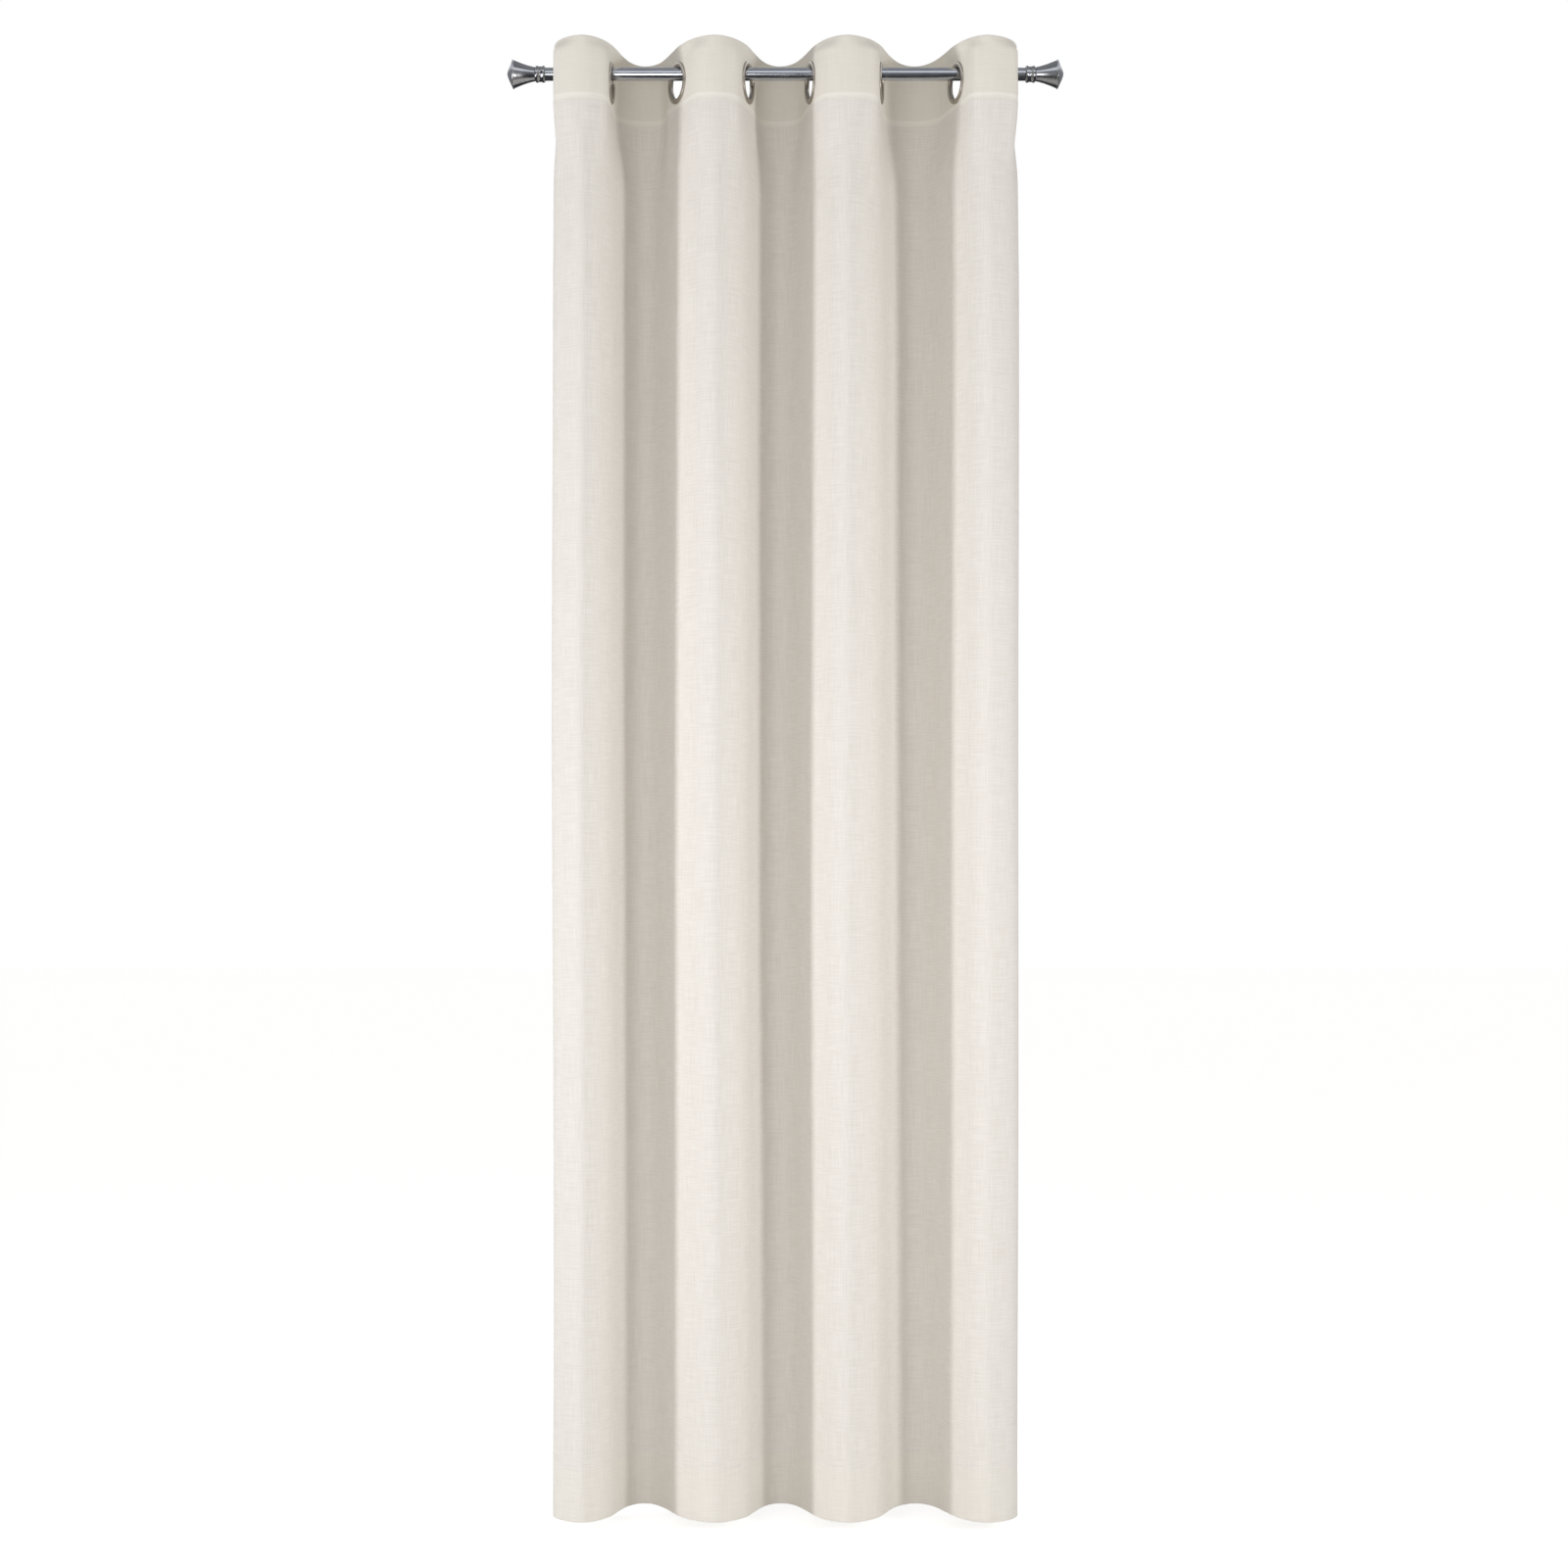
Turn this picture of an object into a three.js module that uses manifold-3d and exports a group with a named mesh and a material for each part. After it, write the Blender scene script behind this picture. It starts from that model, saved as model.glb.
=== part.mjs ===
// An eyelet curtain panel on a plain round rod with trumpet finials, in millimetres.
// X runs along the rod, -Y is the room side, +Z is up, and the origin is the middle of the rod's axis.
import * as THREE from "three";
import { mergeVertices } from "three/addons/utils/BufferGeometryUtils.js";
import Module from "manifold-3d";

// Driving dimensions.
const gap = 0.3; // clearance left between pieces that touch
const seam = 0.9; // clearance where one strip of the panel stops and the next one starts
const rod = { radius: 9.5, wall: 1.3, halfLength: 359, sides: 24 };
const cloth = { top: 38, bottom: -2095, thickness: 1.6 };
const facing = { height: 90, thickness: 1.2 };
const folds = { crest: -54, valley: 78, zone: 32, returnDepth: 62, leave: 0.34, round: 0.56, steps: 7 };
const eyelet = { inner: 23, outer: 30.5, barrelWall: 1, flange: 2.6, washer: 1.8, play: 0.5, sides: 24 };
const eyeletX = [-330, -255, -158, -55, 37, 140, 250, 327]; // where the cloth crosses the rod
const eyeletTilt = [-4, 3, 26, 15, 13, 6, 18, -4]; // degrees away from square across the rod
const foldX = [-295, -206, -105, -10, 90, 188, 287]; // crest or valley between two eyelets
const finial = { collarStart: 351.5, collarEnd: 365.5, collar: 11.7, ridge: 12.3, neck: 10.6, rim: 21.5, flare: 4.2 };
const finialEnd = { rimStart: 396, rimEnd: 398.5, tip: 407, spigot: 30, sides: 28 };
const screw = { radius: 1.9, length: 2.4, socket: 1, depth: 1.3, x: 356 };

const eyeletDrop = eyelet.inner - rod.radius - eyelet.play; // the ring hangs on the rod's top
const facingBack = cloth.thickness / 2 + gap + facing.thickness; // from the cloth's middle to the facing's back

const finishes = {
  cloth: new THREE.MeshStandardMaterial({ name: "cloth", color: 0xe9e3d8, roughness: 0.95, metalness: 0 }),
  facing: new THREE.MeshStandardMaterial({ name: "facing", color: 0xe2dccf, roughness: 0.95, metalness: 0 }),
  rod: new THREE.MeshStandardMaterial({ name: "rod", color: 0xb4b8bd, roughness: 0.3, metalness: 1 }),
  eyelet: new THREE.MeshStandardMaterial({ name: "eyelet", color: 0xb9b3a8, roughness: 0.35, metalness: 1 }),
  finial: new THREE.MeshStandardMaterial({ name: "finial", color: 0x8f9296, roughness: 0.2, metalness: 1 }),
  screw: new THREE.MeshStandardMaterial({ name: "screw", color: 0x55585c, roughness: 0.5, metalness: 1 }),
};

const wasm = await Module();
wasm.setup();

// A geometry as a manifold-3d solid.
function solidFrom(geometry) {
  const bare = geometry.clone();
  bare.deleteAttribute("normal");
  bare.deleteAttribute("uv");
  const merged = mergeVertices(bare, 1e-4);
  const vertProperties = new Float32Array(merged.attributes.position.array);
  const triVerts = new Uint32Array(merged.index.array);
  return new wasm.Manifold(new wasm.Mesh({ numProp: 3, vertProperties, triVerts }));
}

// A manifold-3d solid as a geometry.
function geometryFrom(solid) {
  const mesh = solid.getMesh();
  const geometry = new THREE.BufferGeometry();
  geometry.setAttribute("position", new THREE.BufferAttribute(new Float32Array(mesh.vertProperties), 3));
  geometry.setIndex(new THREE.BufferAttribute(new Uint32Array(mesh.triVerts), 1));
  geometry.computeVertexNormals();
  return geometry;
}

function cut(geometry, ...tools) {
  const solid = tools.reduce((left, tool) => left.subtract(solidFrom(tool)), solidFrom(geometry));
  return geometryFrom(solid);
}

function place(group, name, geometry, finish) {
  const mesh = new THREE.Mesh(geometry, finishes[finish].clone());
  mesh.name = name;
  group.add(mesh);
}

// A closed profile of [radius, along] points turned round an axis, with the axis laid along the given direction.
function turned(points, sides, axis) {
  const profile = [...points, points[0]].map(([radius, along]) => new THREE.Vector2(radius, along));
  const geometry = new THREE.LatheGeometry(profile, sides);
  if (axis === "x") geometry.rotateZ(-Math.PI / 2);
  return geometry;
}

// How the cloth crosses the rod at eyelet i: odd gaps come forward and even gaps go back.
function crossing(i) {
  const lean = THREE.MathUtils.degToRad(90 - eyeletTilt[i]);
  const turn = i % 2 === 0 ? -lean : lean;
  const along = new THREE.Vector2(Math.cos(turn), Math.sin(turn));
  return { turn, along, at: new THREE.Vector2(eyeletX[i], 0) };
}

// A plan curve of the cloth's middle. It leaves a straight stretch quickly and turns over a crest slowly.
function easedCurve(a, aDirection, aReach, b, bDirection, bReach) {
  const distance = a.distanceTo(b);
  const leave = a.clone().addScaledVector(aDirection, aReach * distance);
  const arrive = b.clone().addScaledVector(bDirection, -bReach * distance);
  return new THREE.CubicBezierCurve(a, leave, arrive, b).getPoints(folds.steps);
}

const alongRod = new THREE.Vector2(1, 0);

// The fold from eyelet i to the next one: out to its crest or valley, and back.
function foldLine(i) {
  const from = crossing(i);
  const to = crossing(i + 1);
  const start = from.at.clone().addScaledVector(from.along, folds.zone + seam);
  const end = to.at.clone().addScaledVector(to.along, -folds.zone - seam);
  const turnPoint = new THREE.Vector2(foldX[i], i % 2 === 0 ? folds.crest : folds.valley);
  const out = easedCurve(start, from.along, folds.leave, turnPoint, alongRod, folds.round);
  const back = easedCurve(turnPoint, alongRod, folds.round, end, to.along, folds.leave);
  return [...out, ...back.slice(1)];
}

// The free side of the panel, which runs back from the outermost eyelet towards the window.
function returnLine(i, outward) {
  const { at, along } = crossing(i);
  const edge = at.clone().addScaledVector(along, outward * (folds.zone + seam));
  const end = new THREE.Vector2(edge.x - outward * 2, folds.returnDepth);
  const leaving = along.clone().multiplyScalar(outward);
  const line = easedCurve(edge, leaving, folds.round, end, new THREE.Vector2(0, 1), folds.leave);
  return outward > 0 ? line : line.reverse();
}

// The outline of a strip of cloth: its middle line moved to both sides. Positive sides are towards the window.
function stripOutline(line, near, far) {
  const offset = (side) =>
    line.map((point, i) => {
      const before = line[Math.max(i - 1, 0)];
      const after = line[Math.min(i + 1, line.length - 1)];
      const along = after.clone().sub(before).normalize();
      return new THREE.Vector2(point.x - side * along.y, point.y + side * along.x);
    });
  return [...offset(near), ...offset(far).reverse()];
}

function standing(outline, low, high) {
  const geometry = new THREE.ExtrudeGeometry(new THREE.Shape(outline), {
    depth: high - low,
    bevelEnabled: false,
  });
  return geometry.translate(0, 0, low);
}

// One strip of the panel, and the strip of facing sewn behind its top.
function addStrip(group, name, line) {
  const half = cloth.thickness / 2;
  place(group, `panel_${name}`, standing(stripOutline(line, -half, half), cloth.bottom, cloth.top), "cloth");
  const behind = stripOutline(line, half + gap, facingBack);
  place(group, `heading_${name}`, standing(behind, cloth.top - facing.height, cloth.top), "facing");
}

// The flat stretch of cloth round an eyelet, with its hole, and the two halves of the eyelet.
function addEyelet(group, i) {
  const number = i + 1;
  const { turn, at } = crossing(i);
  const stand = new THREE.Group();
  stand.position.set(at.x, at.y, -eyeletDrop);
  stand.rotation.z = turn;
  group.add(stand);

  const half = cloth.thickness / 2;
  const front = -half - gap;
  const back = facingBack + gap;
  const line = [new THREE.Vector2(-folds.zone, 0), new THREE.Vector2(folds.zone, 0)];
  const holeRadius = eyelet.inner + eyelet.barrelWall + gap;
  const hole = new THREE.CylinderGeometry(holeRadius, holeRadius, 4 * facingBack, eyelet.sides);
  const low = cloth.bottom + eyeletDrop;
  const high = cloth.top + eyeletDrop;
  const panel = standing(stripOutline(line, -half, half), low, high);
  place(stand, `panel_eyelet_${number}`, cut(panel, hole), "cloth");
  const behind = standing(stripOutline(line, half + gap, facingBack), high - facing.height, high);
  place(stand, `heading_eyelet_${number}`, cut(behind, hole), "facing");

  const { inner, outer, flange, washer, barrelWall } = eyelet;
  const barrelEnd = back + washer - 0.4;
  const middle = (inner + outer) / 2;
  const frontRing = [
    [inner, barrelEnd],
    [inner, front - 0.6 * flange],
    [inner + 0.8, front - 0.9 * flange],
    [middle, front - flange],
    [outer - 1.4, front - 0.7 * flange],
    [outer, front - 0.25 * flange],
    [outer - 0.3, front],
    [inner + barrelWall, front],
    [inner + barrelWall, barrelEnd],
  ];
  place(stand, `eyelet_${number}_front`, turned(frontRing, eyelet.sides), "eyelet");
  const backRing = [
    [holeRadius, back],
    [outer - 1, back],
    [outer - 0.7, back + 0.4 * washer],
    [middle + 1, back + washer],
    [holeRadius, back + 0.8 * washer],
  ];
  place(stand, `eyelet_${number}_back`, turned(backRing, eyelet.sides), "eyelet");
}

// The open round tube, turned so that one flat of its faceted outside looks straight down.
function addRod(group) {
  const { radius, wall, halfLength, sides } = rod;
  const profile = [
    [radius - wall, -halfLength],
    [radius, -halfLength],
    [radius, halfLength],
    [radius - wall, halfLength],
  ];
  const tube = turned(profile, sides, "x");
  tube.rotateX(Math.PI / sides);
  place(group, "rod_tube", tube, "rod");
}

// A finial for the +X end; the other end is the same turned half a turn about Z.
function addFinial(group, side, turn) {
  const stand = new THREE.Group();
  stand.rotation.z = turn;
  group.add(stand);

  const { collarStart, collarEnd, collar, ridge, neck, rim, flare } = finial;
  const bore = rod.radius + gap;
  const length = collarEnd - collarStart;
  const collarProfile = [
    [bore, collarStart],
    [collar, collarStart],
    [ridge, collarStart + 0.1 * length],
    [ridge, collarStart + 0.2 * length],
    [collar, collarStart + 0.28 * length],
    [collar, collarStart + 0.68 * length],
    [ridge, collarStart + 0.78 * length],
    [ridge, collarStart + 0.92 * length],
    [collar, collarEnd],
    [bore, collarEnd],
  ];
  const tapped = new THREE.CylinderGeometry(screw.radius + gap, screw.radius + gap, 8, 16);
  tapped.translate(screw.x, rod.radius + 4, 0);
  place(stand, `finial_${side}_collar`, cut(turned(collarProfile, finialEnd.sides, "x"), tapped), "finial");

  const { rimStart, rimEnd, tip, spigot, sides } = finialEnd;
  const plug = rod.radius - rod.wall - gap;
  const bell = new THREE.QuadraticBezierCurve(
    new THREE.Vector2(neck, collarEnd + gap),
    new THREE.Vector2(neck + flare, collarEnd + 0.5 * (rimStart - collarEnd)),
    new THREE.Vector2(rim, rimStart),
  );
  const headProfile = [
    [0, rod.halfLength - spigot],
    [plug, rod.halfLength - spigot],
    [plug, rod.halfLength + gap],
    [rod.radius, rod.halfLength + gap],
    [rod.radius, collarEnd + gap],
    ...bell.getPoints(8).map((point) => [point.x, point.y]),
    [rim, rimEnd],
    [rim - 2.5, rimEnd + 0.6],
    [3.5, tip - 1.6],
    [2.2, tip - 0.4],
    [0, tip],
  ];
  place(stand, `finial_${side}_head`, turned(headProfile, sides, "x"), "finial");

  const barrel = new THREE.CylinderGeometry(screw.radius, screw.radius, screw.length, 16);
  const socket = new THREE.CylinderGeometry(screw.socket, screw.socket, 2 * screw.depth, 6);
  socket.translate(0, screw.length / 2, 0);
  const grubScrew = cut(barrel, socket);
  grubScrew.translate(screw.x, rod.radius + gap + screw.length / 2, 0);
  place(stand, `finial_${side}_screw`, grubScrew, "screw");
}

const curtain = new THREE.Group();
addRod(curtain);
addFinial(curtain, "right", 0);
addFinial(curtain, "left", Math.PI);
eyeletX.forEach((x, i) => addEyelet(curtain, i));
foldX.forEach((x, i) => addStrip(curtain, `fold_${i + 1}`, foldLine(i)));
addStrip(curtain, "side_left", returnLine(0, -1));
addStrip(curtain, "side_right", returnLine(eyeletX.length - 1, 1));

export default curtain;
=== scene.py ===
import math
from bisect import bisect

import bmesh
import bpy
from mathutils import Matrix, Vector, noise
from mathutils.geometry import interpolate_bezier


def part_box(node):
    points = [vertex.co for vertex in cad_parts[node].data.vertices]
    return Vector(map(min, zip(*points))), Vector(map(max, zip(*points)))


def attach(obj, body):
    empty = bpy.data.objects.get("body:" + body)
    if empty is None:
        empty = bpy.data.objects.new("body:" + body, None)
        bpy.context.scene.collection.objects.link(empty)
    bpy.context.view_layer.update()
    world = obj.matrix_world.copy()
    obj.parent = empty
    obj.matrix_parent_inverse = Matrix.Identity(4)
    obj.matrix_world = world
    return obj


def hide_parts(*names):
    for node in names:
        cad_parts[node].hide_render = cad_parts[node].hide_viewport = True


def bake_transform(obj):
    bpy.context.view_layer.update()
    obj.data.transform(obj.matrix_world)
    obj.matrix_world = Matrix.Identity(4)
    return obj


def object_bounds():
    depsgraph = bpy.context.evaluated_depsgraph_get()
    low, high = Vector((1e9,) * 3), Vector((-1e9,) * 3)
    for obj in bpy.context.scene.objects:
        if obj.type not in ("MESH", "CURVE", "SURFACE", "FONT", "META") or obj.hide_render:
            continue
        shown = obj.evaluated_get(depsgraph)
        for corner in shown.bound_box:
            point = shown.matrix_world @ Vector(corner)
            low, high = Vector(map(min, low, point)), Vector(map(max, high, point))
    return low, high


# Eyelet curtain on a rod. X runs along the rod, -Y is the room side, Z is up, metres.

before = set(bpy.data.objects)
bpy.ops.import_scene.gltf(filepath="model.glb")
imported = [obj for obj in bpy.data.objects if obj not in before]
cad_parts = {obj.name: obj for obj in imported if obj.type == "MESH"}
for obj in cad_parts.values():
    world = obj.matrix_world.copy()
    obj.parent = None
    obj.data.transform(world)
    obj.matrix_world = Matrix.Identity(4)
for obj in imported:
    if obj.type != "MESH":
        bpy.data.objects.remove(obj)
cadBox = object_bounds()
print("frame loaded:", len(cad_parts), "nodes")

# the studio

studio = {
    "cameraAt": (-0.002, -4.012, -1.201),
    "cameraTilt": 91.49,  # degrees, 90 is level
    "lens": 63.4,
    "shiftUp": 0.025,
    "lightHeight": -1.0,  # the boxes hang at the middle of the drop
    "lightDistance": 2.8,
    "boxes": [("leftBox", -70, 0.4, 1.0, 28, (0.985, 0.975, 1.0)),  # degrees, width, height, watts, colour
              ("rightBox", 47, 0.4, 1.0, 25, (1.0, 0.98, 0.985)),
              ("frontBox", -15, 0.95, 1.0, 13, (1.0, 0.985, 0.98))],
    "floorGap": 0.022,  # the hem hangs just clear
    "floorSize": 60,
    "floorLift": 0.58,
    "roomLight": 0.435,
}

# what the metal mirrors, from straight down (0) to straight up (1)
mirroredRoom = [(0.0, 0.05), (0.30, 0.05), (0.40, 0.14), (0.52, 0.26), (0.66, 0.34), (0.71, 1.5),
                (0.77, 1.5), (0.83, 0.34), (0.93, 0.22), (1.0, 0.42)]


def softbox(name, azimuth, width, height, watts, colour):
    lamp = bpy.data.lights.new(name, "AREA")
    lamp.shape = "RECTANGLE"
    lamp.size = width
    lamp.size_y = height
    lamp.energy = watts
    lamp.color = colour
    turn = math.radians(azimuth)  # 0 is straight in front, 90 is from the right
    way = Vector((math.sin(turn), -math.cos(turn), 0))
    box = bpy.data.objects.new(name, lamp)
    box.location = way * studio["lightDistance"] + Vector((0, 0, studio["lightHeight"]))
    box.rotation_euler = way.to_track_quat("Z", "Y").to_euler()
    box.visible_camera = False
    bpy.context.scene.collection.objects.link(box)


def buildCamera():
    lens = bpy.data.cameras.new("camera")
    lens.lens = studio["lens"]
    lens.sensor_width = 36
    lens.shift_y = studio["shiftUp"]
    eye = bpy.data.objects.new("camera", lens)
    eye.location = studio["cameraAt"]
    eye.rotation_euler = (math.radians(studio["cameraTilt"]), 0, 0)
    bpy.context.scene.collection.objects.link(eye)
    bpy.context.scene.camera = eye


def addNode(tree, kind, inputs=None, **settings):
    node = tree.nodes.new("ShaderNode" + kind)
    for name, value in settings.items():
        setattr(node, name, value)
    for socket, value in (inputs or {}).items():
        if isinstance(value, bpy.types.NodeSocket):
            tree.links.new(value, node.inputs[socket])
        else:
            node.inputs[socket].default_value = value
    return node


def buildWorld():
    world = bpy.data.worlds.new("studio")
    world.use_nodes = True
    bpy.context.scene.world = world
    tree = world.node_tree
    tree.nodes.clear()
    rays = addNode(tree, "LightPath")
    place = addNode(tree, "TexCoord")
    split = addNode(tree, "SeparateXYZ", {0: place.outputs["Generated"]})
    height = addNode(tree, "MapRange", {"Value": split.outputs["Z"], "From Min": -1.0})
    bands = addNode(tree, "ValToRGB", {"Fac": height.outputs["Result"]})
    stops = bands.color_ramp.elements
    for position, _ in mirroredRoom[1:-1]:  # the ramp already has its two end stops
        stops.new(position)
    for stop, (_, grey) in zip(stops, mirroredRoom):
        stop.color = (grey * 0.97, grey * 0.99, grey * 1.04, 1)  # a shade bluer than the cloth
    mirrored = addNode(tree, "Background", {"Color": bands.outputs["Color"]})
    room = addNode(tree, "Background", {"Color": (1.0, 0.99, 0.97, 1), "Strength": studio["roomLight"]})
    paper = addNode(tree, "Background", {"Color": (1, 1, 1, 1)})
    unseen = addNode(tree, "MixShader", {0: rays.outputs["Is Glossy Ray"], 1: room.outputs[0],
                                         2: mirrored.outputs[0]})
    shown = addNode(tree, "MixShader", {0: rays.outputs["Is Camera Ray"], 1: unseen.outputs[0],
                                        2: paper.outputs[0]})
    addNode(tree, "OutputWorld", {"Surface": shown.outputs[0]})


def finishPiece(name, shape, *materials):
    mesh = bpy.data.meshes.new(name)
    shape.to_mesh(mesh)
    shape.free()
    for material in materials:
        mesh.materials.append(material)
    mesh.shade_smooth()
    piece = bpy.data.objects.new(name, mesh)
    bpy.context.scene.collection.objects.link(piece)
    return piece


def newMaterial(name, **settings):
    material = bpy.data.materials.new(name)
    material.use_nodes = True
    shader = material.node_tree.nodes["Principled BSDF"]
    for socket, value in settings.items():
        shader.inputs[socket.replace("_", " ")].default_value = value
    return material, material.node_tree, shader


def buildFloor():
    material, tree, shader = newMaterial("paleFloor", Base_Color=(0.93, 0.93, 0.925, 1), Roughness=0.9,
                                         Emission_Color=(1, 1, 1, 1))
    rays = addNode(tree, "LightPath")  # the lift is only seen, it lights nothing
    lift = addNode(tree, "Math", {0: rays.outputs["Is Camera Ray"], 1: studio["floorLift"]},
                   operation="MULTIPLY")
    tree.links.new(lift.outputs[0], shader.inputs["Emission Strength"])
    shape = bmesh.new()
    bmesh.ops.create_grid(shape, x_segments=1, y_segments=1, size=studio["floorSize"] / 2)
    bmesh.ops.translate(shape, vec=(0, 0, cadBox[0].z - studio["floorGap"]), verts=shape.verts)
    floor = finishPiece("floor", shape, material)
    floor.visible_glossy = False


buildCamera()
buildWorld()
buildFloor()
for lightBox in studio["boxes"]:
    softbox(*lightBox)
bpy.context.scene.view_settings.view_transform = "Standard"
print("studio set")

# the finishes


def newGroup(name, inputs, outputs):
    group = bpy.data.node_groups.new(name, "ShaderNodeTree")
    for socket, kind, value in inputs:
        made = group.interface.new_socket(name=socket, in_out="INPUT", socket_type="NodeSocket" + kind)
        if value is not None:
            made.default_value = value
    for socket in outputs:
        group.interface.new_socket(name=socket, in_out="OUTPUT", socket_type="NodeSocketFloat")
    return group, group.nodes.new("NodeGroupInput").outputs, group.nodes.new("NodeGroupOutput").inputs


def buildWeaveGroup():  # plain weave with slubs, laid out in metres of flat cloth
    group, given, gives = newGroup(
        "linenWeave",
        [("Cloth", "Vector", None), ("Thread", "Float", 0.0011), ("Slub", "Float", 1.0)],
        ["Tone", "Height"],
    )
    cells = addNode(group, "VectorMath", {0: given["Cloth"], 1: given["Thread"]}, operation="DIVIDE")
    split = addNode(group, "SeparateXYZ", {0: cells.outputs[0]})
    warp = addNode(group, "Math", {0: split.outputs["X"], 1: 0.5}, operation="PINGPONG")
    weft = addNode(group, "Math", {0: split.outputs["Y"], 1: 0.5}, operation="PINGPONG")
    over = addNode(group, "TexChecker", {"Vector": cells.outputs[0], "Scale": 1.0})
    thread = addNode(group, "Mix", {0: over.outputs["Fac"], 2: warp.outputs[0], 3: weft.outputs[0]})
    streaks = []
    for stretch in ((26, 620, 1), (620, 22, 1)):  # weft slubs run across, warp slubs run down
        laid = addNode(group, "Mapping", {"Vector": given["Cloth"], "Scale": stretch})
        streaks.append(addNode(group, "TexNoise", {"Vector": laid.outputs[0], "Scale": 1.0, "Detail": 2.0}))
    both = addNode(group, "Math", {0: streaks[0].outputs["Fac"], 1: streaks[1].outputs["Fac"]},
                   operation="ADD")
    centred = addNode(group, "Math", {0: both.outputs[0], 1: 1.0}, operation="SUBTRACT")
    slubs = addNode(group, "Math", {0: centred.outputs[0], 1: given["Slub"]}, operation="MULTIPLY")
    tone = addNode(group, "Math", {0: slubs.outputs[0], 1: 0.5}, operation="ADD", use_clamp=True)
    height = addNode(group, "Math", {0: slubs.outputs[0], 1: 0.6, 2: thread.outputs[0]},
                     operation="MULTIPLY_ADD")
    group.links.new(tone.outputs[0], gives["Tone"])
    group.links.new(height.outputs[0], gives["Height"])
    return group


def buildMetalGroup():  # drawn or turned lines, and soft handling marks
    group, given, gives = newGroup("metalGrain", [("Lines", "Vector", None), ("Place", "Vector", None)],
                                   ["Grain", "Marks"])
    lines = addNode(group, "TexNoise", {"Vector": given["Lines"], "Scale": 1.0, "Detail": 4.0})
    marks = addNode(group, "TexNoise", {"Vector": given["Place"], "Scale": 38.0, "Detail": 5.0})
    group.links.new(lines.outputs["Fac"], gives["Grain"])
    group.links.new(marks.outputs["Fac"], gives["Marks"])
    return group


weave = buildWeaveGroup()
metalGrain = buildMetalGroup()

linen = {
    "light": (0.872, 0.842, 0.795, 1),
    "dark": (0.800, 0.765, 0.712, 1),
    "doubled": (0.868, 0.832, 0.735, 1),  # where the cloth lies two and three thick
    "turned": (0.925, 0.902, 0.842, 1),  # the allowance turned under at the heading seam
    "thread": 0.0011,
    "slub": 2.4,
}


def linenMaterial():
    material, tree, shader = newMaterial("linenCloth", Roughness=0.88, Sheen_Weight=0.12,
                                         Sheen_Roughness=0.55, Specular_IOR_Level=0.25)
    flat = addNode(tree, "UVMap", uv_map="flatCloth")
    woven = addNode(tree, "Group", node_tree=weave)
    for socket, value in (("Thread", linen["thread"]), ("Slub", linen["slub"])):
        woven.inputs[socket].default_value = value
    tree.links.new(flat.outputs[0], woven.inputs["Cloth"])
    threads = addNode(tree, "Mix", {0: woven.outputs["Tone"], 6: linen["dark"], 7: linen["light"]},
                      data_type="RGBA")
    layers = addNode(tree, "Attribute", attribute_name="layers")
    tone = addNode(tree, "Mix", {0: layers.outputs["Fac"], 6: threads.outputs[2], 7: linen["doubled"]},
                   data_type="RGBA")
    allowance = addNode(tree, "Attribute", attribute_name="allowance")
    pale = addNode(tree, "Mix", {0: allowance.outputs["Fac"], 6: tone.outputs[2], 7: linen["turned"]},
                   data_type="RGBA")
    tree.links.new(pale.outputs[2], shader.inputs["Base Color"])
    bump = addNode(tree, "Bump", {"Height": woven.outputs["Height"], "Strength": 0.35, "Distance": 0.0003})
    tree.links.new(bump.outputs[0], shader.inputs["Normal"])
    return material


def threadMaterial():
    material, tree, shader = newMaterial("sewingThread", Roughness=0.6, Sheen_Weight=0.2)
    place = addNode(tree, "TexCoord")
    twist = addNode(tree, "TexNoise", {"Vector": place.outputs["Object"], "Scale": 1400.0})
    tone = addNode(tree, "Mix", {0: twist.outputs["Fac"], 6: (0.72, 0.67, 0.58, 1), 7: (0.90, 0.87, 0.80, 1)},
                   data_type="RGBA")
    tree.links.new(tone.outputs[2], shader.inputs["Base Color"])
    return material


def metalMaterial(name, bright, dull, lines, glossy, rough, bumpHeight):
    material, tree, shader = newMaterial(name, Metallic=1.0)
    place = addNode(tree, "TexCoord")
    drawn = addNode(tree, "Mapping", {"Vector": place.outputs["Object"], "Scale": lines})
    grain = addNode(tree, "Group", {"Lines": drawn.outputs[0], "Place": place.outputs["Object"]},
                    node_tree=metalGrain)
    tone = addNode(tree, "Mix", {0: grain.outputs["Marks"], 6: dull, 7: bright}, data_type="RGBA")
    tree.links.new(tone.outputs[2], shader.inputs["Base Color"])
    worn = addNode(tree, "Mix", {0: 0.5, 2: grain.outputs["Grain"], 3: grain.outputs["Marks"]})
    gloss = addNode(tree, "MapRange", {"Value": worn.outputs[0], "From Min": 0.3, "From Max": 0.7,
                                       "To Min": glossy, "To Max": rough})
    tree.links.new(gloss.outputs[0], shader.inputs["Roughness"])
    bump = addNode(tree, "Bump", {"Height": grain.outputs["Grain"], "Strength": 0.3, "Distance": bumpHeight})
    tree.links.new(bump.outputs[0], shader.inputs["Normal"])
    return material


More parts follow.
